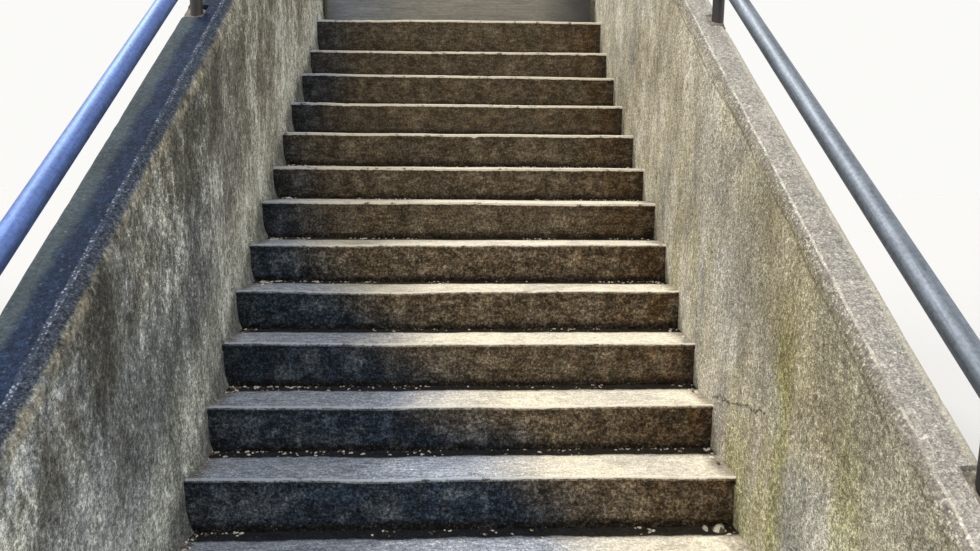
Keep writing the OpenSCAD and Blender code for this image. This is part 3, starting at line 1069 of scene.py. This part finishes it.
def block_cove(side, y0, y1, z):
    """Block against the parapet, with its cuts closer together at the foot."""
    low = (inner_x(side) + side * 0.002, y0, z - COVE_DOWN)
    part = add_block("cove", low, (inner_x(side) + side * 0.03, y1, z + COVE_UP))
    edit(part)
    for i in range(1, COVE_CUTS):
        share = i / COVE_CUTS
        bpy.ops.mesh.select_all(action="SELECT")
        cut_plane((0, y0 + (y1 - y0) * share, 0), (0, 1, 0))
        bpy.ops.mesh.select_all(action="SELECT")
        cut_plane((0, 0, z - COVE_DOWN + (COVE_UP + COVE_DOWN) * share ** 1.6), (0, 0, 1))
    leave_edit()
    return part


def model_coves(side):
    """Rough fillets between treads and parapet, thick at the foot, joined into one piece."""
    parts = []
    for k in range(STEPS):
        y0, y1, z = nose_y(k) + 0.003, nose_y(k + 1) + 0.02, tread_z(k)
        part = block_cove(side, y0, y1, z)

        def flare(co):
            up = min(max((co.z - z) / COVE_UP, 0), 1)
            start = smooth_step(y0 - 0.01, y0 + 0.05, co.y)
            reach = COVE[side] * (0.8 + 0.5 * ripple((k, side, co.y), 0.9)) * (0.4 + 0.6 * start)
            rough = 0.003 * ripple(co, 0.035, 1.0) + 0.003 * ripple(co, 0.012, 6.0)
            rough *= 1 if side < 0 else 0.5
            inwards = (reach + rough) * (1 - up) ** 3.0
            return side * (wall_bulge(side, co.y, co.z) - 0.004 * up - inwards)

        push(part, "X", flare, 0.08)
        parts.append(part)
    finish_piece(join(parts, f"cove_{SIDES[side]}"), "wall_render", angle=60)


# Mortar in the post pockets, sunk and rough
MORTAR_SINK = {-1: 0.012, 1: 0.006}
MORTAR_LAP = 0.002
MORTAR_CUTS = 12
TOP_POST = len(POST_YS) - 1


def block_mortar(side, y, place, normal):
    """Block that fills one pocket to a little below the parapet's top."""
    outer = outer_x(side)
    inner = outer - side * (POCKET_BACK + POST_D + POST_INSET[side] + MORTAR_LAP)
    half = POCKET_W / 2 + MORTAR_LAP
    low = (min(inner, outer), y - half, wall_top(y) - POCKET_H - MORTAR_LAP)
    high = (max(inner, outer), y + half, wall_top(y) + 0.1)
    part = add_block("mortar", low, high)
    edit(part)
    cut_plane(Vector(place) - Vector(normal) * MORTAR_SINK[side], [-n for n in normal], clear=True)
    for j in range(1, MORTAR_CUTS):
        pick("FACE", lambda p: p.normal.z > 0.7)
        cut_plane((low[0] + (high[0] - low[0]) * j / MORTAR_CUTS, 0, 0), (1, 0, 0))
        pick("FACE", lambda p: p.normal.z > 0.7)
        cut_plane((0, low[1] + (high[1] - low[1]) * j / MORTAR_CUTS, 0), (0, 1, 0))
    leave_edit()
    return part


def model_mortar(side):
    parts = []
    for i, y in enumerate(POST_YS):
        place, normal = top_plane("landing" if i == TOP_POST else "lower", y)
        part = block_mortar(side, y, place, normal)

        def heap(co):
            if under_top(place, normal, co) > MORTAR_SINK[side] + 0.03:
                return 0
            away = math.hypot(co.x - post_x(side), co.y - y)
            collar = smooth_step(0.045, 0.026, away) * 0.007
            return collar + 0.005 * ripple(co, 0.022, 3.0) + 0.006 * ripple(co, 0.05, 8.0) - 0.004

        push(part, "Z", heap, MOST_PUSH)
        parts.append(part)
    piece = join(parts, f"mortar_{SIDES[side]}")
    finish_piece(piece, "pocket_mortar", replaced=[f"pocket_mortar_{SIDES[side]}"], angle=60)


# Weld beads where the posts meet the tubes
WELD_R = 0.0038


def model_welds(side):
    parts = []
    x, tube_r = post_x(side), RAIL_D / 2
    for i, y in enumerate(POST_YS):
        slope = 0 if i == TOP_POST else SLOPE
        middle = wall_top(y) + RAIL_UP[side]
        bpy.ops.mesh.primitive_torus_add(location=(x, y, middle), major_radius=POST_D / 2,
                                         minor_radius=WELD_R, major_segments=44, minor_segments=8)
        part = start_piece("weld")
        steep = math.cos(math.atan(slope))

        def drop(co):
            reach = math.sqrt(max(tube_r ** 2 - (co.x - x) ** 2, 0)) / steep
            bead = 0.0009 * ripple(co, 0.006, 2.0)
            return slope * (co.y - y) - reach + bead

        push(part, "Z", drop, 0.08)
        parts.append(part)
    finish_piece(join(parts, f"weld_{SIDES[side]}"), "weld_steel", angle=60)


for model in (model_coves, model_mortar, model_welds):
    for wall_side in SIDES:
        model(wall_side)


# Grit that lies along the backs and the ends of the treads
STONES_BEHIND = 130
STONES_AT_ENDS = 22
BIG_STONES = [(0.885, 0.030, 0.019), (0.840, 0.020, 0.010)]
random.seed(31)


def model_stone(seed):
    bpy.ops.mesh.primitive_ico_sphere_add(subdivisions=2, radius=1)
    stone = start_piece("stone")
    for axis, shift in (("X", 0.0), ("Y", 9.0), ("Z", 18.0)):
        push(stone, axis, lambda co: 0.45 * ripple(co, 0.9, seed + shift), 0.5)
    return stone


def scatter(k):
    """Places and sizes of the stones on one tread, most of them close to the riser behind."""
    back_y = nose_y(k + 1)
    places = []
    for _ in range(STONES_BEHIND):
        across = random.uniform(-1, 1)
        across = math.copysign(abs(across) ** 0.7, across) * (HALF_W - 0.012)
        back = abs(random.gauss(0, random.choice((0.008, 0.030)))) + 0.003
        if ripple((across, k, 0), 0.22, 5.0) > -0.12:
            places.append((across, back_y - back, random.uniform(0.0018, 0.0052)))
    for _ in range(STONES_AT_ENDS):
        side = random.choice((-1, -1, 1))
        inset = abs(random.gauss(0, 0.025)) + 0.018
        y = back_y - abs(random.gauss(0, 0.07)) - 0.004
        size = random.uniform(0.002, 0.007)
        places.append((side * (HALF_W - inset), max(y, nose_y(k) + 0.02), size))
    if k == 0:
        places += [(across, back_y - back, size) for across, back, size in BIG_STONES]
    return places


def lay_grit(k, masters):
    """Loose stones on one tread, each a turned and stretched copy of a master."""
    parts = []
    for across, y, size in scatter(k):
        stone = random.choice(masters).copy()
        stone.data = stone.data.copy()
        bpy.context.collection.objects.link(stone)
        spread = [size * random.uniform(0.8, 2.0), size * random.uniform(0.7, 1.2), size * 0.7]
        turn = Matrix.Rotation(random.uniform(0, 6.3), 4, "Z")
        z = tread_z(k) + nosing_wave(k, across) * 0.3 + size * 0.35
        spot = Matrix.Translation((FLIGHT_X + across, y, z))
        stone.matrix_world = spot @ turn @ Matrix.Diagonal((*spread, 1))
        parts.append(stone)
    finish_piece(join(parts, f"grit_{k + 1:02d}"), "grit", angle=60)


stones = [model_stone(seed) for seed in (1.0, 4.0, 7.0)]
for step in range(STEPS):
    lay_grit(step, stones)
for stone in stones:
    bpy.data.objects.remove(stone)


# Materials on the nodes that stay
STAY = {
    "waist_slab": "slab_concrete",
    "landing_slab": "landing_concrete",
    "landing_beam": "slab_concrete",
    "back_wall": "wall_render",
    "top_riser_board": "weathered_board",
}
for side in SIDES.values():
    for part in ("rake", "elbow", "level", "caps"):
        STAY[f"rail_{side}_{part}"] = "rail_steel"
    for part in range(1, 5):
        STAY[f"post_{side}_{part}"] = "post_steel"
for name, finish in STAY.items():
    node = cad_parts[name]
    if not node.data.materials:
        node.data.materials.append(None)
    for cell in range(len(node.data.materials)):
        node.data.materials[cell] = FINISHES[finish]


# Stage
def pale_floor():
    f = Finish("pale_floor")
    shader = f.node("ShaderNodeBsdfDiffuse", {"Color": (190, 190, 190)})
    f.node_out(shader)
    return f.material


bpy.ops.mesh.primitive_plane_add(size=60, location=(0, 0, -0.002))
floor = start_piece("floor")
floor.data.materials.append(pale_floor())

world = bpy.data.worlds.new("studio")
bpy.context.scene.world = world
world.use_nodes = True
tree = world.node_tree
background = tree.nodes["Background"]
paths = tree.nodes.new("ShaderNodeLightPath")
seen = paths.outputs["Is Camera Ray"]
for kind in ("Is Glossy Ray", "Is Transmission Ray"):
    either = tree.nodes.new("ShaderNodeMath")
    either.operation = "MAXIMUM"
    tree.links.new(seen, either.inputs[0])
    tree.links.new(paths.outputs[kind], either.inputs[1])
    seen = either.outputs[0]
level = tree.nodes.new("ShaderNodeMapRange")
level.inputs["To Min"].default_value = 0.63
level.inputs["To Max"].default_value = 1.0
tree.links.new(seen, level.inputs["Value"])
tree.links.new(level.outputs[0], background.inputs["Strength"])
background.inputs["Color"].default_value = (0.962, 0.956, 0.935, 1)


def add_lamp(name, towards, strength, spread, colour):
    """A soft distant lamp that shines along a direction."""
    bpy.ops.object.light_add(type="SUN", location=(0, 0, 6))
    lamp = bpy.context.object
    lamp.name = name
    lamp.rotation_mode = "QUATERNION"
    lamp.rotation_quaternion = Vector(towards).to_track_quat("-Z", "Y")
    lamp.data.energy = strength
    lamp.data.angle = math.radians(spread)
    lamp.data.color = colour


add_lamp("key", (0.40, -0.42, -1.0), 3.0, 9, (1.0, 0.97, 0.92))
add_lamp("front_fill", (0.20, 1.0, -0.55), 0.8, 60, (1.0, 0.97, 0.92))
add_lamp("left_fill", (1.0, 0.1, -0.7), 0.8, 60, (1.0, 0.98, 0.95))
add_lamp("right_fill", (-1.0, 0.2, -0.8), 1.0, 34, (0.94, 0.97, 1.0))

# Camera
CAMERA_PLACE = (-0.011, -3.884, 1.444)
CAMERA_YAW = 2.68
CAMERA_PITCH = -8.94
CAMERA_ROLL = 0.49
bpy.ops.object.camera_add(location=CAMERA_PLACE)
camera = bpy.context.object
turn = Matrix.Rotation(math.radians(-CAMERA_YAW), 4, "Z")
tilt = Matrix.Rotation(math.radians(90 + CAMERA_PITCH), 4, "X")
roll = Matrix.Rotation(math.radians(CAMERA_ROLL), 4, "Z")
camera.matrix_world = Matrix.Translation(CAMERA_PLACE) @ turn @ tilt @ roll
camera.data.sensor_width = 36
camera.data.lens = 27.04
camera.data.clip_start = 0.02
camera.data.clip_end = 200
bpy.context.scene.camera = camera
bpy.context.scene.view_settings.view_transform = "Standard"
